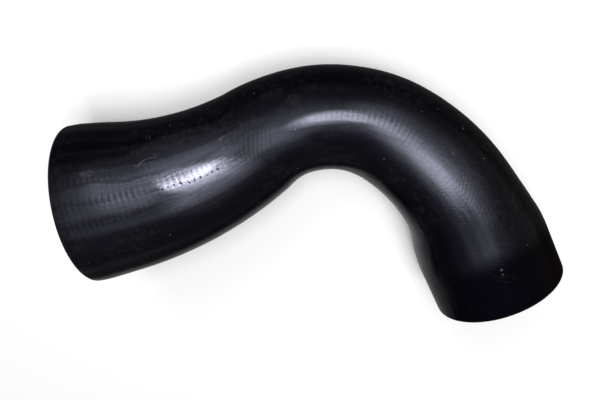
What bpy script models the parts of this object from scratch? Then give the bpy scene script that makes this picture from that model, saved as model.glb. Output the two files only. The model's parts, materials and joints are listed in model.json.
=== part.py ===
"""Charge air hose: one moulded rubber duct, lying on the floor.

A wide cuff tapers through a gentle bend to a narrow throat, sweeps round a tighter bend
and opens out again to a smaller cuff. Metres, +Z up. The origin is on the floor under
the middle of the hose, and +X runs the way the wide cuff points into the hose.
"""

import math

import bmesh
import bpy
from mathutils import Vector

# Bores, and the wall that goes round them
LARGE_BORE = 0.065
THROAT_BORE = 0.038
THROAT_OUTLET_BORE = 0.037
NECK_BORE = 0.045
SMALL_BORE = 0.052
WALL = 0.005

# Route of the middle line, in one plane: a straight, three arcs and a straight
LARGE_STRAIGHT = 0.019
OFFSET_BEND_RADIUS = 0.160
OFFSET_BEND_ANGLE = math.radians(25)
ELBOW_TIGHT_RADIUS = 0.058
ELBOW_TIGHT_ANGLE = math.radians(66)
ELBOW_WIDE_RADIUS = 0.095
ELBOW_WIDE_ANGLE = math.radians(34)
SMALL_STRAIGHT = 0.037

# Lengths of the diameter changes: the first three run from the wide end, the last two back from the small end
LARGE_CUFF_LENGTH = 0.007
TAPER_LENGTH = 0.096
THROAT_LENGTH = 0.030
SMALL_CUFF_LENGTH = 0.032
FLARE_LENGTH = 0.011
CORNER_BLEND = 0.012

# Square-cut ends
END_COLLAR = 0.003
RIM_ROUND = 0.0008

# Fineness of the facets
SECTION_SIDES = 40
RING_SPACING = 0.0056
BLEND_SAMPLES = 8
RIM_SEGMENTS = 2

RUBBER_COLOUR = (0.012, 0.012, 0.014, 1.0)
RUBBER_ROUGHNESS = 0.42


def clear_scene():
    for obj in list(bpy.data.objects):
        bpy.data.objects.remove(obj, do_unlink=True)


def rubber_material():
    material = bpy.data.materials.new("moulded_rubber")
    material.use_nodes = True
    shader = material.node_tree.nodes["Principled BSDF"]
    shader.inputs["Base Color"].default_value = RUBBER_COLOUR
    shader.inputs["Roughness"].default_value = RUBBER_ROUGHNESS
    shader.inputs["Metallic"].default_value = 0.0
    return material


def route():
    """Each stretch of the middle line as its length and its turn to the left in radians."""
    return [
        (LARGE_STRAIGHT, 0.0),
        (OFFSET_BEND_RADIUS * OFFSET_BEND_ANGLE, OFFSET_BEND_ANGLE),
        (ELBOW_TIGHT_RADIUS * ELBOW_TIGHT_ANGLE, -ELBOW_TIGHT_ANGLE),
        (ELBOW_WIDE_RADIUS * ELBOW_WIDE_ANGLE, -ELBOW_WIDE_ANGLE),
        (SMALL_STRAIGHT, 0.0),
    ]


def hose_length():
    return sum(length for length, turn in route())


def middle_point(distance):
    """The point of the middle line that lies a distance along it from the wide end."""
    point = Vector((0.0, 0.0, 0.0))
    heading = 0.0
    left = distance
    for length, turn in route():
        run = min(left, length)
        swing = turn * run / length
        chord = run
        if abs(swing) > 1e-9:
            chord = 2 * math.sin(swing / 2) * run / swing
        point += chord * Vector((math.cos(heading + swing / 2), math.sin(heading + swing / 2), 0.0))
        heading += swing
        left -= run
        if left <= 0:
            break
    return point


def bore_stations():
    """The bore at each corner of its profile, by distance from the wide end."""
    taper_end = LARGE_CUFF_LENGTH + TAPER_LENGTH
    flare_end = hose_length() - SMALL_CUFF_LENGTH
    return [
        (0.0, LARGE_BORE),
        (LARGE_CUFF_LENGTH, LARGE_BORE),
        (taper_end, THROAT_BORE),
        (taper_end + THROAT_LENGTH, THROAT_OUTLET_BORE),
        (flare_end - FLARE_LENGTH, NECK_BORE),
        (flare_end, SMALL_BORE),
        (hose_length(), SMALL_BORE),
    ]


def straight_bore(distance):
    """The bore with sharp corners in its profile."""
    stations = bore_stations()
    for (start, bore), (end, next_bore) in zip(stations, stations[1:]):
        if distance <= end:
            return bore + (next_bore - bore) * (distance - start) / (end - start)
    return SMALL_BORE


def outer_radius(distance):
    """Half the outer diameter, with the corners blended except right at the ends."""
    reach = max(0.0, min(CORNER_BLEND, distance, hose_length() - distance))
    total = 0.0
    weights = 0.0
    for step in range(-BLEND_SAMPLES, BLEND_SAMPLES + 1):
        weight = BLEND_SAMPLES + 1 - abs(step)
        total += weight * straight_bore(distance + reach * step / BLEND_SAMPLES)
        weights += weight
    return total / weights / 2 + WALL


def ring_distances():
    """Where the rings of the skin lie: even steps, with a short true cylinder at each end."""
    inner_length = hose_length() - 2 * END_COLLAR
    steps = round(inner_length / RING_SPACING)
    inside = [END_COLLAR + inner_length * step / steps for step in range(steps + 1)]
    return [0.0] + inside + [hose_length()]


def outer_skin():
    """The outer skin alone, swept along the middle line as an open tube."""
    curve = bpy.data.curves.new("hose_sweep", "CURVE")
    curve.dimensions = "3D"
    curve.twist_mode = "Z_UP"
    curve.bevel_depth = LARGE_BORE / 2 + WALL
    curve.bevel_resolution = SECTION_SIDES // 2 - 2
    distances = ring_distances()
    spline = curve.splines.new("POLY")
    spline.points.add(len(distances) - 1)
    for point, distance in zip(spline.points, distances):
        point.co = (*middle_point(distance), 1.0)
        point.radius = outer_radius(distance) / curve.bevel_depth
    sweep = bpy.data.objects.new("hose_sweep", curve)
    bpy.context.scene.collection.objects.link(sweep)
    bpy.context.view_layer.update()
    mesh = bpy.data.meshes.new_from_object(sweep.evaluated_get(bpy.context.evaluated_depsgraph_get()))
    bpy.data.objects.remove(sweep, do_unlink=True)
    bpy.data.curves.remove(curve)
    return mesh


def add_wall(hose):
    wall = hose.modifiers.new("wall", "SOLIDIFY")
    wall.thickness = WALL
    wall.offset = -1.0
    wall.use_even_offset = True
    rim = hose.modifiers.new("rim_round", "BEVEL")
    rim.width = RIM_ROUND
    rim.segments = RIM_SEGMENTS
    rim.limit_method = "ANGLE"
    rim.angle_limit = math.radians(60)


def centre_of_mass(body):
    """The centre of the volume, from the tetrahedron that each triangle makes with the origin."""
    volume = 0.0
    moment = Vector((0.0, 0.0, 0.0))
    for face in body.faces:
        a, b, c = (vert.co for vert in face.verts)
        share = a.dot(b.cross(c)) / 6
        volume += share
        moment += share * (a + b + c) / 4
    return moment / volume


def lies_under(point, face, down):
    """Whether a point, dropped along down, lands inside a convex face."""
    corners = [vert.co for vert in face.verts]
    following = corners[1:] + corners[:1]
    sides = [(end - start).cross(point - start).dot(down) >= 0 for start, end in zip(corners, following)]
    return all(sides) or not any(sides)


def resting_turn(body):
    """The turn that brings the hull face under the centre of mass down flat on the floor."""
    bmesh.ops.triangulate(body, faces=body.faces[:])
    balance = centre_of_mass(body)
    hull = bmesh.ops.convex_hull(body, input=body.verts[:])
    down = Vector((0.0, 0.0, -1.0))
    lowest = None
    for face in hull["geom"]:
        if not isinstance(face, bmesh.types.BMFace):
            continue
        face.normal_update()
        outward = face.normal.copy()
        if outward.dot(face.verts[0].co - balance) < 0:
            outward.negate()
        steeper = lowest is None or outward.dot(down) > lowest.dot(down)
        if steeper and lies_under(balance, face, outward):
            lowest = outward
    return lowest.rotation_difference(down)


def lay_on_floor(hose):
    """Turns the hose to its rest and sets it on the floor, with its box centred on the origin."""
    bpy.context.view_layer.update()
    evaluated = hose.evaluated_get(bpy.context.evaluated_depsgraph_get())
    body = bmesh.new()
    body.from_mesh(evaluated.to_mesh())
    points = [vert.co.copy() for vert in body.verts]
    turn = resting_turn(body)
    body.free()
    turned = [turn @ point for point in points]
    low = [min(point[axis] for point in turned) for axis in range(3)]
    high = [max(point[axis] for point in turned) for axis in range(3)]
    hose.rotation_mode = "QUATERNION"
    hose.rotation_quaternion = turn
    hose.location = (-(low[0] + high[0]) / 2, -(low[1] + high[1]) / 2, -low[2])


def make_hose(collection):
    hose = bpy.data.objects.new("hose", outer_skin())
    collection.objects.link(hose)
    hose.data.materials.clear()
    hose.data.materials.append(rubber_material())
    hose.data.shade_smooth()
    add_wall(hose)
    lay_on_floor(hose)


def main():
    clear_scene()
    collection = bpy.data.collections.new("charge_air_hose")
    bpy.context.scene.collection.children.link(collection)
    make_hose(collection)


main()
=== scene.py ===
"""Looks of the charge air hose: satin black moulded rubber on a pale floor, seen from above.

The skin is one fine mesh over the hose's own route and bores. It carries the marks of the wrap
that the hose was cured in: ribs round it, shallow flats along it and a faint knit in between.
Metres throughout. A place on the skin is a distance along the middle line from the wide end and
an angle round it, nought at the top of the plane that the hose bends in and growing to the left.
"""
import json
import math

import bmesh
import bpy
import numpy as np
from mathutils import Matrix, Vector


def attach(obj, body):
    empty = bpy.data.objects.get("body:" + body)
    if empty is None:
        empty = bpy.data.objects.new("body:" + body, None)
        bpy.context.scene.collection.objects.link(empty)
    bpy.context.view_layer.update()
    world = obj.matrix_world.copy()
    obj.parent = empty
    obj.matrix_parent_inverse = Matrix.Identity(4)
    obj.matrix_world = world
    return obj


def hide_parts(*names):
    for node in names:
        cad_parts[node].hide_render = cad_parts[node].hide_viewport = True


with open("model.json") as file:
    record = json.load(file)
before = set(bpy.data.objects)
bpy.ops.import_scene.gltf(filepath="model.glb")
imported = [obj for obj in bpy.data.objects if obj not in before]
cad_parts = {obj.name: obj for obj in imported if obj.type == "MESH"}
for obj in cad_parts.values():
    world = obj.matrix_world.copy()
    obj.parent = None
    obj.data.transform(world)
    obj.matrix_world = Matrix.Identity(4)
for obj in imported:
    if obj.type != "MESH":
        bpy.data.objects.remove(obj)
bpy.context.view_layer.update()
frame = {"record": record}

MM = 0.001

# Bores and wall
LARGE_BORE = 65 * MM
THROAT_BORE = 38 * MM
THROAT_OUTLET_BORE = 37 * MM
NECK_BORE = 45 * MM
SMALL_BORE = 52 * MM
WALL = 5 * MM

# Route of the middle line: each stretch's length and its turn to the left
LARGE_STRAIGHT = 19 * MM
OFFSET_BEND_RADIUS = 160 * MM
OFFSET_BEND_ANGLE = math.radians(25)
ELBOW_TIGHT_RADIUS = 58 * MM
ELBOW_TIGHT_ANGLE = math.radians(66)
ELBOW_WIDE_RADIUS = 95 * MM
ELBOW_WIDE_ANGLE = math.radians(34)
SMALL_STRAIGHT = 37 * MM
ROUTE = [
    (LARGE_STRAIGHT, 0.0),
    (OFFSET_BEND_RADIUS * OFFSET_BEND_ANGLE, OFFSET_BEND_ANGLE),
    (ELBOW_TIGHT_RADIUS * ELBOW_TIGHT_ANGLE, -ELBOW_TIGHT_ANGLE),
    (ELBOW_WIDE_RADIUS * ELBOW_WIDE_ANGLE, -ELBOW_WIDE_ANGLE),
    (SMALL_STRAIGHT, 0.0),
]
LENGTH = sum(length for length, turn in ROUTE)

# Profile of the bore: its size at each corner, by distance from the wide end
LARGE_CUFF_LENGTH = 7 * MM
TAPER_END = LARGE_CUFF_LENGTH + 96 * MM
THROAT_END = TAPER_END + 30 * MM
FLARE_END = LENGTH - 32 * MM
FLARE_START = FLARE_END - 11 * MM
BORE_STATIONS = [
    (0.0, LARGE_BORE),
    (LARGE_CUFF_LENGTH, LARGE_BORE),
    (TAPER_END, THROAT_BORE),
    (THROAT_END, THROAT_OUTLET_BORE),
    (FLARE_START, NECK_BORE),
    (FLARE_END, SMALL_BORE),
    (LENGTH, SMALL_BORE),
]
CORNER_BLEND = 12 * MM
BLEND_SAMPLES = 8
RIM_ROUND = 0.8 * MM

# Fineness of the mesh
SKIN_RINGS = 620
SIDES = 132
BORE_RINGS = 60
RIM_STEPS = 4

# Ribs round the hose: wide apart on the wide cuff, closer from the change on, and leaning at the skew
RIB_HEIGHT = 0.010 * MM
CUFF_RIB_PITCH = 2.6 * MM
BODY_RIB_PITCH = 2.1 * MM
RIB_CHANGE = 60 * MM
RIB_CHANGE_REACH = 10 * MM
RIB_SKEW = 15 * MM
SKEW_MIDDLE = 92 * MM
SKEW_REACH = 20 * MM
# How far they sway, in radians, and how that goes round the hose: waves a turn and their start
RIB_SWAY = 0.9
CUFF_RIB_WAVES = (3.0, 0.4)
BODY_RIB_WAVES = (2.0, 1.3)
# How fast their strength comes and goes along the hose, in radians a metre
RIB_SWELL_RATE = 210.0
# Where they swell or sink: the middle, the reach, and the share of their height that they gain
RIB_SWELLS = [
    (62 * MM, 13 * MM, -0.7),
    (122 * MM, 14 * MM, -0.35),
    (148 * MM, 16 * MM, 0.8),
]

# On the wide cuff the ribs are strongest in rows, one of them at this angle, and the rows fade out.
# Between two rows they lose the first share of their height, and a row adds the second to that.
RIB_ROWS = 24
RIB_ROW_ANGLE = math.radians(28)
BETWEEN_ROWS = -0.8
ROW_GAIN = 2.2
CUFF_FADE = (36 * MM, 52 * MM)

# Shallow flats along it, at the wide end and again on the small cuff
FLAT_COUNT = 26
FLAT_HEIGHT = 0.06 * MM
SMALL_FLAT_HEIGHT = 0.04 * MM
# Over these stretches they drift round, ease off, end and start again
FLAT_DRIFT = math.radians(8)
FLAT_DRIFT_SPAN = (12 * MM, 95 * MM)
FLAT_EASE = (34 * MM, 56 * MM)
FLAT_END = (70 * MM, 110 * MM)
SMALL_FLAT_START = (190 * MM, 215 * MM)
# The mesh is plain this near each end
PLAIN_END = 3 * MM

# Finer flats that the wrapping tape left along the hose
TAPE_FLATS = 30
TAPE_FLAT_DEPTH = 0.075 * MM
TAPE_FLAT_SHIFT = -0.07

# Camera and its picture
CAMERA_PLACE = (0.0351, 0.1206, 0.2887)
CAMERA_AIM = (-0.0074, 0.0032, 0.0300)
PICTURE_TOP_AZIMUTH = 78.9
CAMERA_LENS = 36.0
SENSOR_WIDTH = 36.0

# Colours and finish
RUBBER_BLACK = (0.0012, 0.0013, 0.0028, 1.0)
RUBBER_BROWNISH = (0.0030, 0.0020, 0.0022, 1.0)
RUBBER_BLOOM = (0.0066, 0.0066, 0.0088, 1.0)
# Painted light: a lighter grey laid on the underside in place of light that does not reach it
RUBBER_PAINTED_UNDERSIDE_LIGHT = (0.0150, 0.0150, 0.0175, 1.0)
BORE_BLACK = (0.0045, 0.0045, 0.0055, 1.0)
BORE_GREY = (0.0090, 0.0088, 0.0100, 1.0)
SMUDGE = (0.060, 0.056, 0.060, 1.0)
RUBBER_SHEEN = (0.775, 0.785, 1.0, 1.0)
DULL_ROUGHNESS = 0.46
DULL_REFLECTION = 0.20
WORN_REFLECTION = 1.0
FLANK_REFLECTION = 0.004
UNDERSIDE_REFLECTION = 0.36
BORE_REFLECTION = 0.25
SMALL_CUFF_ROUGHNESS = 0.12
# Shares of the light lost in a pit, on a ridge between flats and in a gap between ribs
PIT_LOSS = 0.8
RIDGE_LOSS = 0.45
GAP_LOSS = 0.34
# How much bloom a ridge holds, and how much of the grain the polish takes away
RIDGE_BLOOM = 0.45
GRAIN_LOSS = 0.6
# Where the finish changes along the hose
STREAK_FADE = (60 * MM, 90 * MM)
RIDGE_FADE = (70 * MM, 110 * MM)
BROWN_START = (120 * MM, 200 * MM)
KNIT_START = (165 * MM, 190 * MM)
SMALL_CUFF_FLATS = (190 * MM, 210 * MM)
BLOOM_END = (214 * MM, 226 * MM)
SMALL_CUFF_DULLNESS = (216 * MM, 228 * MM)
CUFF_GAP_STRETCH = (3 * MM, 9 * MM, 38 * MM, 54 * MM)
# Where it changes round the hose
INNER_EDGE = (math.radians(-52), math.radians(-40))
INNER_SIDE = (math.radians(-55), math.radians(-15))
# Where it changes either way from the crown, or from an angle of its own in degrees
FLANK = (math.radians(20), math.radians(50))
UNDERSIDE_FROM = 20
UNDERSIDE = (math.radians(72), math.radians(104))
RIB_LINES_FROM = 8
RIB_LINES = (math.radians(12), math.radians(32))

# Polished patches. Millimetres along: where the polish starts, is full, starts to go and is gone.
# Degrees round: the middle at its start, the middle at its end and the reach.
# Last, how much light it gives back, from 0 to 1, and how rough it is.
WORN_PATCHES = [
    ((8, 22, 44, 62), (18, 15, 11), 0.22, 0.33),
    ((7, 18, 58, 76), (31, 30, 9), 0.30, 0.42),
    ((9, 16, 38, 56), (46, 44, 4), 0.035, 0.42),
    ((40, 51, 66, 89), (15.5, 0, 8.8), 1.0, 0.15),
    ((30, 48, 64, 98), (31, 21, 15), 0.58, 0.37),
    ((40, 58, 76, 96), (-8, -11, 11), 0.62, 0.36),
    ((80, 96, 102, 118), (-2, -4, 12), 0.17, 0.42),
    ((96, 121, 138, 158), (3, 16, 5.2), 0.74, 0.28),
    ((126, 146, 184, 212), (18, 11, 13), 1.0, 0.42),
    ((132, 172, 178, 204), (12, -5, 16), 1.0, 0.36),
    ((128, 142, 156, 172), (-57, -57, 6), 0.12, 0.40),
    ((180, 198, 238, 252), (-52, -58, 9), 0.06, 0.40),
]
# Duller patches, laid out the same way; the last number is the share of the light that they lose
DULL_PATCHES = [
    ((90, 102, 130, 142), (28, 28, 6), 0.35),
    ((108, 118, 140, 158), (-12, -12, 9), 0.6),
    ((186, 196, 212, 222), (-3, -6, 7), 0.30),
    ((216, 227, 260, 270), (10, 10, 72), 0.92),
]
# How far the ends of a patch bow, and how far grain and streaks push its start and its end about.
# Its sides are pushed about by a share of its reach, and go from full to none between two others.
PATCH_BOW = 5 * MM
PATCH_START_RAGGED = 7 * MM
PATCH_END_RAGGED = 14 * MM
PATCH_SIDE_RAGGED = 0.7
PATCH_SIDE = (0.4, 1.8)

# Row of pits down the brightest patch: 8 degrees round where it starts, 3 degrees 25 mm further on
PIT_PITCH = 2.8 * MM
PIT_DEPTH = 0.06 * MM
PIT_STRETCH = (46 * MM, 48 * MM, 73 * MM, 75 * MM)
PIT_LINE_SLOPE = -math.radians(5) / (25 * MM)
PIT_LINE_START = math.radians(8) - 48 * MM * PIT_LINE_SLOPE
# Where a pit's side starts and ends, how ragged it is, and how far the row strays along and round
PIT_EDGE = (0.95 * MM, 1.45 * MM)
PIT_RAGGED = 1.6 * MM
PIT_SHIFT = 2.2 * MM
PIT_SWAY = 0.09
# Turns an angle round the crown into a length
CROWN_RADIUS = 29 * MM

# Relief too fine for the mesh: the knit of the wrap, streaks along the hose and two sizes of grain
KNIT_ROWS = 58.0
KNIT_HEIGHT = 0.018 * MM
KNIT_SHIFT = 1.4 * MM
RIB_LINE_SHIFT = 1.6 * MM
STREAK_WIDTH = 1.5 * MM
STREAK_SQUEEZE = 0.12
STREAK_HEIGHT = 0.05 * MM
GRAIN_SIZE = 0.9 * MM
GRAIN_HEIGHT = 0.022 * MM
FINE_GRAIN_SIZE = 0.45 * MM
FINE_GRAIN_HEIGHT = 0.006 * MM
# Unevenness of the skin, from the ragged rims of the pits to its broadest patches
PIT_RIM_SIZE = 1.3 * MM
BLOTCH_SIZE = 2.6 * MM
WANDER_SIZE = 6 * MM
BROAD_SIZE = 22 * MM
# Bore: lines that the mandrel left along it, grain and blotches
MANDREL_LINE_WIDTH = 1.2 * MM
MANDREL_LINE_SQUEEZE = 0.1
MANDREL_LINE_HEIGHT = 0.04 * MM
BORE_GRAIN_SIZE = 0.8 * MM
BORE_GRAIN_HEIGHT = 0.03 * MM
BORE_BLOTCH_SIZE = 4 * MM

# Smudges: millimetres along and degrees round of the middle, reach each way, and strength
SMUDGES = [
    (16.5, 32, 4.0, 3.0, 0.32), (81, 26, 2.5, 2.0, 0.45), (111, 31, 4.0, 7.0, 0.14),
    (174, 22, 1.5, 1.5, 0.50), (104, 45, 5.0, 8.0, 0.08), (93, -32, 5.0, 5.0, 0.12),
]
# Dust on the skin: millimetres along, degrees round and width in millimetres
SPECKS = [
    (8, 58, 0.45), (48, 54, 0.40), (55, 50, 0.40), (59, 62, 0.35), (44.5, 22, 0.40), (80, 64, 0.45),
    (99, 54, 0.40), (109, 1, 0.50), (70, -47, 0.35), (77, -50, 0.35), (103, -45, 0.40), (7, -31, 0.35),
    (42, -29, 0.40), (39, 32, 0.45), (172.5, 52, 0.50), (161, 53, 0.35), (156, 39, 0.40), (145.5, 29, 0.40),
    (152, -22, 0.40), (159, -50, 0.35), (185, 42, 0.35), (222, 30, 0.40), (193, 17, 0.35), (80, 25, 0.50),
]
BLOTS = [(226.2, 1, 1.2), (228.4, 0.5, 0.95)]
SPECK_FLATNESS = 0.2
# Fibre and scratches: points of their paths, millimetres along and degrees round
FIBRE = [(40, 30.5), (43, 33.5), (46.5, 34.5), (50, 33)]
FIBRE_TIP = [(48.5, 34), (49.2, 36.5), (50.3, 34.5)]
SCRATCHES = [
    [(224.5, -10), (227.5, -7), (229.5, -1), (231, 6), (234, 9)],
    [(229, -6), (231.5, -2), (233, 3)],
]
FIBRE_THICKNESS = 0.14 * MM
FIBRE_LIFT = 0.05 * MM
SCRATCH_THICKNESS = 0.10 * MM
SCRATCH_LIFT = -0.02 * MM
# Dusts: their darkest and their lightest grey
PALE_DUST = (0.08, 0.08, 0.09, 1.0), (0.26, 0.26, 0.29, 1.0)
DULL_DUST = (0.022, 0.022, 0.026, 1.0), (0.046, 0.046, 0.050, 1.0)
FAINT_SCRATCH = (0.003, 0.003, 0.005, 1.0), (0.009, 0.009, 0.012, 1.0)
DUST_ROUGHNESS = 0.8
DUST_PATCH_SIZE = 7 * MM
DUST_GRAIN_SIZE = 0.2 * MM
DUST_GRAIN_HEIGHT = 0.03 * MM

# Studio. The floor starts to show as white at the first distance and is white from the second.
FLOOR_COLOUR = (0.96, 0.96, 0.96, 1.0)
FLOOR_ROUGHNESS = 0.9
FLOOR_FADE = (0.4, 1.6)
FLOOR_REACH = 20.0
WHITE = (1.0, 1.0, 1.0, 1.0)
SKY_LEVEL = 0.09
# Lamps: how far each stands aside for a metre of height, its size, its level and its bearing
LAMP_HEIGHT = 1.5
LAMPS = {
    "key": ((0.12, 0.33), (0.92, 0.46), 0.42, 90),
    "core": ((0.05, 0.41), (0.56, 0.14), 0.23, 90),
    "leg": ((0.15, -0.06), (0.90, 0.40), 0.38, 33),
    "far": ((-0.08, 1.05), (0.90, 0.70), 0.17, 0),
}


def smooth(value, start, end):
    """0 before start, 1 after end, and a smooth rise in between."""
    share = np.clip((value - start) / (end - start), 0.0, 1.0)
    return share * share * (3 - 2 * share)


def middle_point(distance):
    """The point of the middle line at a distance from the wide end, and its heading there."""
    point = np.zeros(2)
    heading = 0.0
    left = distance
    for length, turn in ROUTE:
        run = min(left, length)
        swing = turn * run / length
        chord = run if abs(swing) < 1e-9 else 2 * math.sin(swing / 2) * run / swing
        point += chord * np.array([math.cos(heading + swing / 2), math.sin(heading + swing / 2)])
        heading += swing
        left -= run
        if left <= 0:
            break
    return point, heading


def outer_radius(distance):
    """Half the outer diameter, with the corners of the profile blended except right at the ends."""
    reach = max(0.0, min(CORNER_BLEND, distance, LENGTH - distance))
    steps = np.arange(-BLEND_SAMPLES, BLEND_SAMPLES + 1)
    weights = BLEND_SAMPLES + 1 - abs(steps)
    places, bores = zip(*BORE_STATIONS)
    nearby = np.interp(distance + reach * steps / BLEND_SAMPLES, places, bores)
    return (weights * nearby).sum() / weights.sum() / 2 + WALL


def hose_axes():
    """The centre of the wide end and the hose's own three axes, from its two end mounts."""
    mounts = {mount["name"]: mount for mount in frame["record"]["mounts"]}
    along = -Vector(mounts["wide_end"]["axis"]).normalized()
    up = Vector(mounts["small_end"]["axis"]).cross(along).normalized()
    side = up.cross(along)
    centre = Vector(mounts["wide_end"]["pos_m"]) - (LARGE_BORE + WALL) / 2 * up
    return centre, along, side, up


CENTRE, ALONG, SIDE, UP = (np.array(axis) for axis in hose_axes())


def place(distances, angles, radii):
    """World points of rings at these distances, with a radius for each ring and angle."""
    middles = [middle_point(distance) for distance in distances]
    points = np.array([point for point, heading in middles])
    headings = np.array([heading for point, heading in middles])
    centres = CENTRE + points[:, :1] * ALONG + points[:, 1:] * SIDE
    left = -np.sin(headings)[:, None] * ALONG + np.cos(headings)[:, None] * SIDE
    across = np.sin(angles)[None, :, None] * left[:, None, :]
    upward = np.cos(angles)[None, :, None] * UP
    return centres[:, None, :] + radii[:, :, None] * (across + upward)


def rib_sway(angle, waves, start):
    """How far the ribs are shifted along at an angle round the hose, in radians of their own wave."""
    return RIB_SWAY * np.sin(waves * angle + start)


def rib_relief(distance, angle):
    """Fine ribs round the hose, wider apart on the cuff, leaning where the taper meets the bend."""
    lean = RIB_SKEW * np.exp(-(((distance - SKEW_MIDDLE) / SKEW_REACH) ** 2))
    along = distance - lean * np.sin(angle)
    change = smooth(distance, RIB_CHANGE - RIB_CHANGE_REACH, RIB_CHANGE + RIB_CHANGE_REACH)
    wide = np.cos(2 * math.pi * along / CUFF_RIB_PITCH + rib_sway(angle, *CUFF_RIB_WAVES))
    narrow = np.cos(2 * math.pi * along / BODY_RIB_PITCH + rib_sway(angle, *BODY_RIB_WAVES))
    swell = 0.75 + 0.25 * np.sin(RIB_SWELL_RATE * distance + 2.0 * np.sin(2 * angle))
    for middle, reach, gain in RIB_SWELLS:
        swell *= 1 + gain * np.exp(-(((distance - middle) / reach) ** 2))
    rows = 0.5 + 0.5 * np.cos(RIB_ROWS * (angle - RIB_ROW_ANGLE))
    swell *= 1 + (BETWEEN_ROWS + ROW_GAIN * rows) * (1 - smooth(distance, *CUFF_FADE))
    return RIB_HEIGHT * swell * (wide * (1 - change) + narrow * change)


def flat_relief(distance, angle):
    """Shallow flats along both ends, uneven in width and depth, gone in the throat and the elbow."""
    turned = angle + FLAT_DRIFT * smooth(distance, *FLAT_DRIFT_SPAN)
    wave = np.cos(FLAT_COUNT * turned - 0.9 + 0.5 * np.sin(3 * turned + 0.6) + 0.4 * np.sin(7 * turned))
    depth = 0.7 + 0.3 * np.sin(5 * turned + 1.0)
    wide_end = FLAT_HEIGHT * (1 - 0.7 * smooth(distance, *FLAT_EASE))
    wide_end *= 1 - smooth(distance, *FLAT_END)
    small_end = SMALL_FLAT_HEIGHT * smooth(distance, *SMALL_FLAT_START)
    return wave * depth * (wide_end + small_end)


def add_object(name, data):
    """A new object in the scene."""
    item = bpy.data.objects.new(name, data)
    bpy.context.scene.collection.objects.link(item)
    return item


def ring_mesh(name, points, distances, inside):
    """A tube of rings that closes on itself both ways, with a map of the place along and round it.

    Faces after the ring called inside take the second material.
    """
    rings, sides = points.shape[:2]
    ring, side = np.meshgrid(np.arange(rings), np.arange(sides), indexing="ij")
    next_ring, next_side = (ring + 1) % rings, (side + 1) % sides
    corners = [
        ring * sides + side,
        next_ring * sides + side,
        next_ring * sides + next_side,
        ring * sides + next_side,
    ]
    mesh = bpy.data.meshes.new(name)
    mesh.from_pydata(points.reshape(-1, 3).tolist(), [], np.stack(corners, -1).reshape(-1, 4).tolist())
    share = np.array(distances) / LENGTH
    along = np.stack([share[ring], share[next_ring], share[next_ring], share[ring]], -1)
    round_it = np.stack([side, side, side + 1, side + 1], -1) / sides
    layer = mesh.uv_layers.new(name="skin")
    layer.uv.foreach_set("vector", np.stack([along, round_it], -1).astype(np.float32).ravel())
    mesh.polygons.foreach_set("material_index", (ring >= inside).astype(np.int32).ravel())
    mesh.shade_smooth()
    return add_object(name, mesh)


def rim_profile(bore):
    """A cut end's section from the skin to the bore, as (depth in from the end, radius)."""
    turns = np.linspace(0.0, math.pi / 2, RIM_STEPS + 1)
    outer = [(RIM_ROUND * (1 - math.sin(turn)), -RIM_ROUND * (1 - math.cos(turn))) for turn in turns]
    outside = [(depth, bore / 2 + WALL + inset) for depth, inset in outer]
    inside = [(depth, bore / 2 - inset) for depth, inset in reversed(outer)]
    return outside[1:] + inside


def make_skin():
    """The whole hose: outer skin, rounded rims, cut ends and bore, in one closed mesh."""
    angles = -math.pi + 2 * math.pi * np.arange(SIDES) / SIDES
    outer = np.linspace(RIM_ROUND, LENGTH - RIM_ROUND, SKIN_RINGS)
    relief = rib_relief(outer[:, None], angles) + flat_relief(outer[:, None], angles)
    fade = smooth(outer, 0.0, PLAIN_END) * smooth(LENGTH - outer, 0.0, PLAIN_END)
    radii = np.array([outer_radius(distance) for distance in outer])
    rows = list(zip(outer, radii[:, None] + relief * fade[:, None]))
    even = np.ones(SIDES)
    rows += [(LENGTH - depth, radius * even) for depth, radius in rim_profile(SMALL_BORE)]
    for distance in np.linspace(LENGTH - RIM_ROUND, RIM_ROUND, BORE_RINGS)[1:-1]:
        rows.append((distance, (outer_radius(distance) - WALL) * even))
    rows += [(depth, radius * even) for depth, radius in reversed(rim_profile(LARGE_BORE))]
    distances = [distance for distance, ring in rows]
    points = place(distances, angles, np.array([ring for distance, ring in rows]))
    return ring_mesh("hose_rubber", points, distances, SKIN_RINGS - 1)


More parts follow.
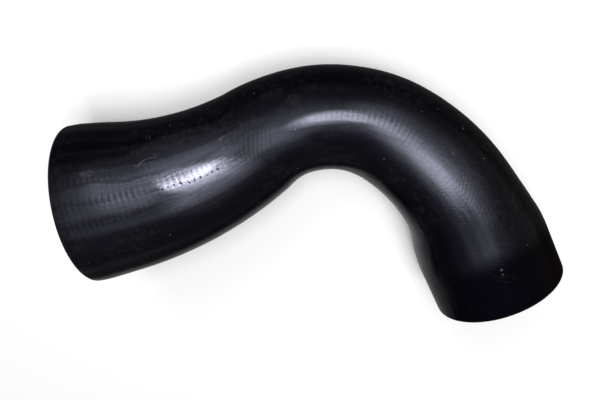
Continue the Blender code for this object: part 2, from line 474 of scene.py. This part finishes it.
class Tree:
    """A material's nodes, each added and linked in one call."""

    def __init__(self, name):
        self.material = bpy.data.materials.new(name)
        self.material.use_nodes = True
        self.nodes = self.material.node_tree.nodes
        self.links = self.material.node_tree.links
        self.shader = self.nodes["Principled BSDF"]

    def feed(self, socket, value):
        if isinstance(value, bpy.types.NodeSocket):
            self.links.new(value, socket)
        else:
            socket.default_value = value

    def add(self, kind, inputs, **settings):
        node = self.nodes.new(kind)
        for name, value in settings.items():
            setattr(node, name, value)
        for name, value in inputs.items():
            self.feed(node.inputs[name], value)
        return node

    def maths(self, operation, *values):
        node = self.add("ShaderNodeMath", {}, operation=operation)
        for socket, value in zip(node.inputs, values):
            self.feed(socket, value)
        return node.outputs[0]

    def rise(self, value, start, end, low=0.0, high=1.0):
        """Low before start, high after end, and a smooth change in between."""
        inputs = {"Value": value, "From Min": start, "From Max": end, "To Min": low, "To Max": high}
        node = self.add("ShaderNodeMapRange", inputs, interpolation_type="SMOOTHSTEP")
        return node.outputs["Result"]

    def noise(self, vector, size, detail=2.0, roughness=0.5):
        inputs = {"Vector": vector, "Scale": 1 / size, "Detail": detail, "Roughness": roughness}
        return self.add("ShaderNodeTexNoise", inputs).outputs["Fac"]

    def bump(self, height, distance, normal=None):
        inputs = {"Height": height, "Distance": distance, "Strength": 1.0}
        if normal is not None:
            inputs["Normal"] = normal
        return self.add("ShaderNodeBump", inputs).outputs["Normal"]

    def blend(self, share, first, second):
        node = self.add("ShaderNodeMix", {}, data_type="RGBA")
        for socket, value in zip((node.inputs[0], node.inputs[6], node.inputs[7]), (share, first, second)):
            self.feed(socket, value)
        return node.outputs[2]

    def times(self, value, *others):
        """The product of all the values."""
        for other in others:
            value = self.maths("MULTIPLY", value, other)
        return value

    def less(self, share, loss):
        """One, less a loss in proportion to a share."""
        return self.maths("MULTIPLY_ADD", share, -loss, 1.0)

    def window(self, value, start, full, going, gone):
        """1 between full and going, 0 before start and after gone, and smooth in between."""
        return self.times(self.rise(value, start, full), self.rise(value, going, gone, 1.0, 0.0))

    def square_sum(self, first, second):
        return self.maths("MULTIPLY_ADD", first, first, self.maths("MULTIPLY", second, second))

    def shade(self, values):
        """Feeds the shader's own sockets, by their names."""
        for name, value in values.items():
            self.feed(self.shader.inputs[name], value)


class Skin(Tree):
    """A material laid out by the distance along the hose and the angle round it."""

    def __init__(self, name):
        super().__init__(name)
        laid_out = self.add("ShaderNodeUVMap", {}, uv_map="skin").outputs["UV"]
        parts = self.add("ShaderNodeSeparateXYZ", {"Vector": laid_out}).outputs
        self.along = self.maths("MULTIPLY", parts["X"], LENGTH)
        self.angle = self.maths("MULTIPLY_ADD", parts["Y"], 2 * math.pi, -math.pi)
        self.solid = self.add("ShaderNodeTexCoord", {}).outputs["Object"]

    def aside(self, degrees):
        """How far round a place is from an angle, either way, in radians."""
        return self.maths("ABSOLUTE", self.maths("SUBTRACT", self.angle, math.radians(degrees)))

    def stretched(self, squeeze, start=0.0):
        """The place on the skin, squeezed lengthways, for marks that run along the hose."""
        return self.add("ShaderNodeCombineXYZ", {
            "X": self.maths("MULTIPLY", self.along, squeeze),
            "Y": self.maths("MULTIPLY_ADD", self.angle, CROWN_RADIUS, start),
        }).outputs["Vector"]


class OuterSkin(Skin):
    """The outer skin, with the grain and the streaks that break up all its marks."""

    def __init__(self, name):
        super().__init__(name)
        self.grain = self.noise(self.solid, GRAIN_SIZE, 3.0, 0.6)
        self.broad = self.noise(self.solid, BROAD_SIZE, 2.0)
        self.wander = self.noise(self.solid, WANDER_SIZE, 1.0)
        lines = self.noise(self.stretched(STREAK_SQUEEZE), STREAK_WIDTH, 3.0, 0.6)
        self.streaks = self.maths("SUBTRACT", lines, 0.5)
        self.speckle = self.maths("SUBTRACT", self.grain, 0.5)
        self.ragged = self.maths("ADD", self.streaks, self.speckle)


def patch_share(tree, stations, angles):
    """How far inside a patch a place is: 1 in the middle, 0 outside, with a ragged edge."""
    start, full, going, gone = (station * MM for station in stations)
    first, last, reach = (math.radians(angle) for angle in angles)
    slope = (last - first) / (gone - start)
    middle = tree.maths("MULTIPLY_ADD", tree.along, slope, first - start * slope)
    aside = tree.maths("ABSOLUTE", tree.maths("SUBTRACT", tree.angle, middle))
    bow = tree.times(aside, aside, PATCH_BOW / reach ** 2)
    entry = tree.maths("MULTIPLY_ADD", tree.speckle, PATCH_START_RAGGED, tree.along)
    leaving = tree.maths("MULTIPLY_ADD", tree.ragged, PATCH_END_RAGGED, tree.along)
    sideways = tree.maths("MULTIPLY_ADD", tree.ragged, PATCH_SIDE_RAGGED * reach, aside)
    inner, outer = (share * reach for share in PATCH_SIDE)
    return tree.times(
        tree.rise(tree.maths("SUBTRACT", entry, bow), start, full),
        tree.rise(tree.maths("ADD", leaving, bow), going, gone, 1.0, 0.0),
        tree.rise(sideways, inner, outer, 1.0, 0.0),
    )


def worn_finish(tree):
    """How polished the skin is, how rough that leaves it, and the share of its sheen that it keeps.

    The polish is 1 in the most worn patch and 0 away from them all. Dull patches take the sheen.
    """
    worn = 0.0
    rough = DULL_ROUGHNESS
    kept = 1.0
    for stations, angles, strength, roughness in WORN_PATCHES:
        share = patch_share(tree, stations, angles)
        worn = tree.maths("MAXIMUM", worn, tree.times(share, strength))
        finish = tree.maths("MULTIPLY_ADD", share, roughness - DULL_ROUGHNESS, DULL_ROUGHNESS)
        rough = tree.maths("MINIMUM", rough, finish)
    for stations, angles, loss in DULL_PATCHES:
        kept = tree.times(kept, tree.less(patch_share(tree, stations, angles), loss))
    return worn, rough, kept


def pits(tree):
    """A row of small pits down the brightest patch, 1 in the middle of each."""
    shifted = tree.maths("MULTIPLY_ADD", tree.wander, PIT_SHIFT, tree.along)
    turns = tree.maths("FRACT", tree.maths("DIVIDE", shifted, PIT_PITCH))
    lengthways = tree.times(tree.maths("SUBTRACT", turns, 0.5), PIT_PITCH)
    line = tree.maths("MULTIPLY_ADD", tree.along, PIT_LINE_SLOPE, PIT_LINE_START)
    line = tree.maths("MULTIPLY_ADD", tree.maths("SUBTRACT", tree.wander, 0.5), PIT_SWAY, line)
    sideways = tree.times(tree.maths("SUBTRACT", tree.angle, line), CROWN_RADIUS)
    apart = tree.maths("SQRT", tree.square_sum(lengthways, sideways))
    rims = tree.noise(tree.solid, PIT_RIM_SIZE, 2.0)
    inside = tree.rise(tree.maths("MULTIPLY_ADD", rims, PIT_RAGGED, apart), *PIT_EDGE, 1.0, 0.0)
    return tree.times(inside, tree.window(tree.along, *PIT_STRETCH))


def smudges(tree):
    """Small pale rub marks, broken up by the grain of the skin."""
    total = 0.0
    for middle, round_it, length, width, strength in SMUDGES:
        lengthways = tree.maths("SUBTRACT", tree.along, middle * MM)
        lengthways = tree.maths("DIVIDE", lengthways, length * MM)
        sideways = tree.maths("DIVIDE", tree.aside(round_it), math.radians(width))
        inside = tree.rise(tree.square_sum(lengthways, sideways), 0.1, 1.0, strength, 0.0)
        total = tree.maths("MAXIMUM", total, inside)
    return tree.times(total, tree.rise(tree.grain, 0.32, 0.60))


def tape_flats(tree):
    """Shallow flats along the hose, 0 in the middle of each and 1 at the ridge between two."""
    drift = tree.rise(tree.along, *FLAT_DRIFT_SPAN, 0.0, FLAT_DRIFT)
    turned = tree.maths("ADD", tree.angle, drift)
    turned = tree.maths("MULTIPLY_ADD", tree.streaks, 0.10, turned)
    turns = tree.maths("MULTIPLY_ADD", turned, TAPE_FLATS / (2 * math.pi), TAPE_FLAT_SHIFT)
    wave = tree.maths("COSINE", tree.times(turns, 2 * math.pi))
    return tree.maths("MULTIPLY_ADD", wave, 0.5, 0.5)


def knit(tree):
    """The faint knit of the wrap down the leg, strongest along the crown."""
    row = tree.maths("COSINE", tree.times(tree.angle, KNIT_ROWS))
    bent = tree.maths("MULTIPLY_ADD", tree.wander, KNIT_SHIFT, tree.along)
    column = tree.maths("COSINE", tree.times(bent, 2 * math.pi / BODY_RIB_PITCH))
    leg = tree.rise(tree.along, *KNIT_START)
    crown = tree.rise(tree.aside(0), 0.2, 0.5, 1.0, 0.2)
    return tree.times(row, column, leg, crown, tree.rise(tree.wander, 0.35, 0.60, 0.2, 1.0))


def cuff_gaps(tree):
    """Dull gaps between the ribs of the wide cuff, in their rows, 1 in the middle of each."""
    sway = tree.maths("SINE", tree.maths("MULTIPLY_ADD", tree.angle, *CUFF_RIB_WAVES))
    sway = tree.times(sway, RIB_SWAY)
    turns = tree.maths("MULTIPLY_ADD", tree.along, 2 * math.pi / CUFF_RIB_PITCH, sway)
    gap = tree.rise(tree.maths("COSINE", turns), -0.9, 0.4, 1.0, 0.0)
    turned = tree.times(tree.maths("SUBTRACT", tree.angle, RIB_ROW_ANGLE), RIB_ROWS)
    row = tree.rise(tree.maths("COSINE", turned), -0.2, 0.9)
    near = tree.window(tree.along, *CUFF_GAP_STRETCH)
    return tree.times(gap, row, near, tree.rise(tree.wander, 0.35, 0.60, 0.35, 1.0))


def rib_lines(tree):
    """Dull lines between the leaning ribs where the taper meets the bend, 1 in the middle of each."""
    start, end = SKEW_MIDDLE - SKEW_REACH, SKEW_MIDDLE + SKEW_REACH
    near = tree.window(tree.along, start, SKEW_MIDDLE, SKEW_MIDDLE, end)
    lean = tree.times(near, tree.angle, -RIB_SKEW)
    bent = tree.maths("MULTIPLY_ADD", tree.wander, RIB_LINE_SHIFT, tree.maths("ADD", tree.along, lean))
    wave = tree.maths("COSINE", tree.times(bent, 2 * math.pi / BODY_RIB_PITCH))
    crown = tree.rise(tree.aside(RIB_LINES_FROM), *RIB_LINES, 1.0, 0.0)
    broken = tree.rise(tree.wander, 0.35, 0.55, 0.35, 1.0)
    return tree.times(near, crown, broken, tree.rise(wave, 0.1, 1.0))


def relief(tree, worn, flats, pit):
    """The lie of the surface, from its flats and streaks down to its finest grain, and its pits."""
    wide_cuff = tree.rise(tree.along, *CUFF_FADE, 1.0, 0.25)
    inner_side = tree.rise(tree.angle, *INNER_SIDE, 0.6, 0.0)
    small_cuff = tree.times(inner_side, tree.rise(tree.along, *SMALL_CUFF_FLATS))
    normal = None
    for height, depth in [
        (tree.times(flats, tree.maths("ADD", wide_cuff, small_cuff)), TAPE_FLAT_DEPTH),
        (tree.times(tree.streaks, tree.rise(tree.along, *STREAK_FADE, 1.0, 0.25)), STREAK_HEIGHT),
        (tree.times(tree.grain, tree.less(worn, GRAIN_LOSS)), GRAIN_HEIGHT),
        (tree.noise(tree.solid, FINE_GRAIN_SIZE, 2.0), FINE_GRAIN_HEIGHT),
        (knit(tree), KNIT_HEIGHT),
        (tree.maths("SUBTRACT", 1.0, pit), PIT_DEPTH),
    ]:
        normal = tree.bump(height, depth, normal)
    return normal


def reflection(tree, worn, kept, pit, ridge, under):
    """How much light the skin gives back: most where it is polished, least on the flanks."""
    inner_edge = tree.rise(tree.angle, *INNER_EDGE, 1.0, 0.0)
    broken = tree.rise(tree.streaks, -0.12, 0.14, -0.9, 0.4)
    polish = tree.times(
        worn,
        tree.less(pit, PIT_LOSS),
        tree.maths("MULTIPLY_ADD", inner_edge, broken, 1.0),
        tree.rise(tree.grain, 0.30, 0.65, 0.78, 1.12),
    )
    base = tree.rise(tree.aside(0), *FLANK, DULL_REFLECTION, FLANK_REFLECTION)
    base = tree.times(tree.maths("MULTIPLY_ADD", under, UNDERSIDE_REFLECTION, base), kept)
    level = tree.maths("MULTIPLY_ADD", polish, WORN_REFLECTION - DULL_REFLECTION, base)
    gaps = tree.maths("MAXIMUM", rib_lines(tree), cuff_gaps(tree))
    return tree.times(level, tree.less(ridge, RIDGE_LOSS), tree.less(gaps, GAP_LOSS))


def rubber_colour(tree, ridge, under):
    """Near black, browner on the leg, with bloom and smudges on it, and painted light underneath: a mottled
    lighter grey on the underside.
    """
    brown = tree.times(tree.rise(tree.along, *BROWN_START), tree.rise(tree.angle, 0.0, 1.0))
    blotches = tree.noise(tree.solid, BLOTCH_SIZE, 3.0, 0.65)
    bloom = tree.times(tree.rise(blotches, 0.45, 0.68), tree.rise(tree.broad, 0.38, 0.58))
    bloom = tree.maths("MAXIMUM", bloom, tree.times(ridge, RIDGE_BLOOM))
    bloom = tree.times(bloom, tree.rise(tree.along, *BLOOM_END, 1.0, 0.1))
    # Painted light: the underside turns a mottled lighter grey
    painted_underside_light = tree.times(tree.rise(under, 0.5, 1.0), tree.rise(blotches, 0.3, 0.7, 0.6, 1.0))
    colour = RUBBER_BLACK
    for share, over in [
        (brown, RUBBER_BROWNISH),
        (bloom, RUBBER_BLOOM),
        (painted_underside_light, RUBBER_PAINTED_UNDERSIDE_LIGHT),
        (smudges(tree), SMUDGE),
    ]:
        colour = tree.blend(share, colour, over)
    return colour


def rubber():
    """The outer skin: satin black rubber, polished along the crown."""
    tree = OuterSkin("moulded_rubber")
    flats = tape_flats(tree)
    pit = pits(tree)
    worn, rough, kept = worn_finish(tree)
    ridge = tree.times(
        tree.rise(flats, 0.55, 1.0),
        tree.rise(tree.streaks, -0.16, 0.06),
        tree.rise(worn, 0.5, 0.8, 1.0, 0.0),
        tree.rise(tree.along, *RIDGE_FADE, 1.0, 0.2),
    )
    under = tree.rise(tree.aside(UNDERSIDE_FROM), *UNDERSIDE)
    rough = tree.maths("ADD", rough, tree.rise(tree.broad, 0.3, 0.7, -0.02, 0.02))
    small_cuff = tree.rise(tree.along, *SMALL_CUFF_DULLNESS, 0.0, SMALL_CUFF_ROUGHNESS)
    rough = tree.maths("ADD", rough, small_cuff)
    tree.shade({
        "Normal": relief(tree, worn, flats, pit),
        "Roughness": rough,
        "Specular IOR Level": reflection(tree, worn, kept, pit, ridge, under),
        "Specular Tint": RUBBER_SHEEN,
        "Base Color": rubber_colour(tree, ridge, under),
    })
    return tree.material


def bore_rubber():
    """The cut ends and the bore: plain dull rubber with faint marks of the mandrel along it."""
    tree = Skin("bore_rubber")
    stretched = tree.stretched(MANDREL_LINE_SQUEEZE, math.pi * CROWN_RADIUS)
    lines = tree.noise(stretched, MANDREL_LINE_WIDTH, 3.0, 0.6)
    grain = tree.noise(tree.solid, BORE_GRAIN_SIZE, 3.0, 0.6)
    blotches = tree.noise(tree.solid, BORE_BLOTCH_SIZE, 3.0, 0.6)
    tree.shade({
        "Normal": tree.bump(grain, BORE_GRAIN_HEIGHT, tree.bump(lines, MANDREL_LINE_HEIGHT)),
        "Base Color": tree.blend(tree.rise(blotches, 0.40, 0.65), BORE_BLACK, BORE_GREY),
        "Roughness": tree.rise(lines, 0.35, 0.65, 0.44, 0.56),
        "Specular IOR Level": BORE_REFLECTION,
    })
    return tree.material


def skin_point(along, round_it, lift=0.0):
    """A point on the skin, from millimetres along and degrees round, lifted off it by a height."""
    distance = along * MM
    radius = np.array([[outer_radius(distance) + lift]])
    return Vector(place([distance], np.array([math.radians(round_it)]), radius)[0, 0])


def make_specks(name, marks):
    """Low round specks on the skin, as one piece."""
    specks = bmesh.new()
    for along, round_it, width in marks:
        point = skin_point(along, round_it)
        away = (skin_point(along, round_it, MM) - point).normalized()
        flat = Matrix.Diagonal((1.0, 1.0, SPECK_FLATNESS, 1.0))
        turn = Vector((0.0, 0.0, 1.0)).rotation_difference(away).to_matrix().to_4x4()
        bmesh.ops.create_icosphere(
            specks, subdivisions=2, radius=width * MM / 2, matrix=Matrix.Translation(point) @ turn @ flat
        )
    mesh = bpy.data.meshes.new(name)
    specks.to_mesh(mesh)
    specks.free()
    mesh.shade_smooth()
    return add_object(name, mesh)


def make_threads(name, paths, thickness, lift):
    """Fine threads along paths on the skin, as one piece."""
    curve = bpy.data.curves.new(name, "CURVE")
    curve.dimensions = "3D"
    curve.bevel_depth = thickness / 2
    curve.bevel_resolution = 1
    curve.resolution_u = 6
    for path in paths:
        spline = curve.splines.new("BEZIER")
        spline.bezier_points.add(len(path) - 1)
        for knot, (along, round_it) in zip(spline.bezier_points, path):
            knot.co = skin_point(along, round_it, lift)
            knot.handle_left_type = knot.handle_right_type = "AUTO"
    draft = add_object(name + "_draft", curve)
    bpy.context.view_layer.update()
    mesh = bpy.data.meshes.new_from_object(draft.evaluated_get(bpy.context.evaluated_depsgraph_get()))
    bpy.data.objects.remove(draft, do_unlink=True)
    bpy.data.curves.remove(curve)
    return add_object(name, mesh)


def dusty(name, dark, light):
    """A matt dust that runs from one grey to another."""
    tree = Tree(name)
    solid = tree.add("ShaderNodeTexCoord", {}).outputs["Object"]
    patchy = tree.rise(tree.noise(solid, DUST_PATCH_SIZE, 1.0), 0.35, 0.65)
    tree.shade({
        "Base Color": tree.blend(patchy, dark, light),
        "Roughness": DUST_ROUGHNESS,
        "Normal": tree.bump(tree.noise(solid, DUST_GRAIN_SIZE), DUST_GRAIN_HEIGHT),
    })
    return tree.material


def make_floor():
    """A wide flat sheet that the hose lies on, which shows as white far from it."""
    mesh = bpy.data.meshes.new("floor")
    sheet = bmesh.new()
    bmesh.ops.create_grid(sheet, x_segments=1, y_segments=1, size=FLOOR_REACH)
    sheet.to_mesh(mesh)
    sheet.free()
    floor = add_object("floor", mesh)
    tree = Tree("pale_floor")
    spot = tree.add("ShaderNodeTexCoord", {}).outputs["Object"]
    away = tree.add("ShaderNodeVectorMath", {0: spot}, operation="LENGTH").outputs["Value"]
    seen = tree.add("ShaderNodeLightPath", {}).outputs["Is Camera Ray"]
    tree.shade({
        "Base Color": FLOOR_COLOUR,
        "Roughness": FLOOR_ROUGHNESS,
        "Specular IOR Level": 0.0,
        "Emission Color": WHITE,
        "Emission Strength": tree.times(seen, tree.rise(away, *FLOOR_FADE)),
    })
    floor.data.materials.append(tree.material)


def make_sky():
    """A weak even sky for light, which shows as white behind the floor."""
    world = bpy.data.worlds.new("studio")
    bpy.context.scene.world = world
    world.use_nodes = True
    nodes, links = world.node_tree.nodes, world.node_tree.links
    background = nodes["Background"]
    background.inputs["Color"].default_value = WHITE
    seen = nodes.new("ShaderNodeLightPath").outputs["Is Camera Ray"]
    strength = nodes.new("ShaderNodeMapRange")
    links.new(seen, strength.inputs["Value"])
    strength.inputs["To Min"].default_value = SKY_LEVEL
    strength.inputs["To Max"].default_value = 1.0
    links.new(strength.outputs["Result"], background.inputs["Strength"])


def softbox(name, lean, size, level, bearing):
    """A flat lamp high above the hose, facing it, its length along a bearing on the floor.

    Lean is how far it stands aside for each metre of height. A level of 1 shows white as white.
    """
    data = bpy.data.lights.new(name, "AREA")
    data.shape = "RECTANGLE"
    data.size, data.size_y = size
    position = LAMP_HEIGHT * Vector((*lean, 1.0))
    data.energy = level * (math.pi * position.length) ** 2
    lamp = add_object(name, data)
    away = position.normalized()
    compass = Vector((math.cos(math.radians(bearing)), math.sin(math.radians(bearing)), 0.0))
    across = away.cross(compass).normalized()
    turn = Matrix((across.cross(away), across, away)).transposed()
    lamp.matrix_world = Matrix.Translation(position) @ turn.to_4x4()


def make_camera():
    data = bpy.data.cameras.new("camera")
    data.lens = CAMERA_LENS
    data.sensor_width = SENSOR_WIDTH
    data.clip_start = 0.01
    camera = add_object("camera", data)
    back = (Vector(CAMERA_PLACE) - Vector(CAMERA_AIM)).normalized()
    bearing = math.radians(PICTURE_TOP_AZIMUTH)
    right = Vector((math.cos(bearing), math.sin(bearing), 0.0)).cross(back).normalized()
    turn = Matrix((right, back.cross(right), back)).transposed()
    camera.matrix_world = Matrix.Translation(CAMERA_PLACE) @ turn.to_4x4()
    bpy.context.scene.camera = camera


bpy.context.scene.view_settings.view_transform = "Standard"
make_camera()
skin = make_skin()
skin.data.materials.append(rubber())
skin.data.materials.append(bore_rubber())
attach(skin, "root")
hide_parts("hose")
pale = dusty("pale_dust", *PALE_DUST)
dull = dusty("dull_dust", *DULL_DUST)
faint = dusty("faint_scratch", *FAINT_SCRATCH)
for piece, material in [
    (make_specks("dust", SPECKS), pale),
    (make_specks("blots", BLOTS), dull),
    (make_threads("fibre", [FIBRE, FIBRE_TIP], FIBRE_THICKNESS, FIBRE_LIFT), pale),
    (make_threads("scratches", SCRATCHES, SCRATCH_THICKNESS, SCRATCH_LIFT), faint),
]:
    piece.data.materials.append(material)
    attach(piece, "root")
make_floor()
make_sky()
for name, lamp in LAMPS.items():
    softbox(name, *lamp)
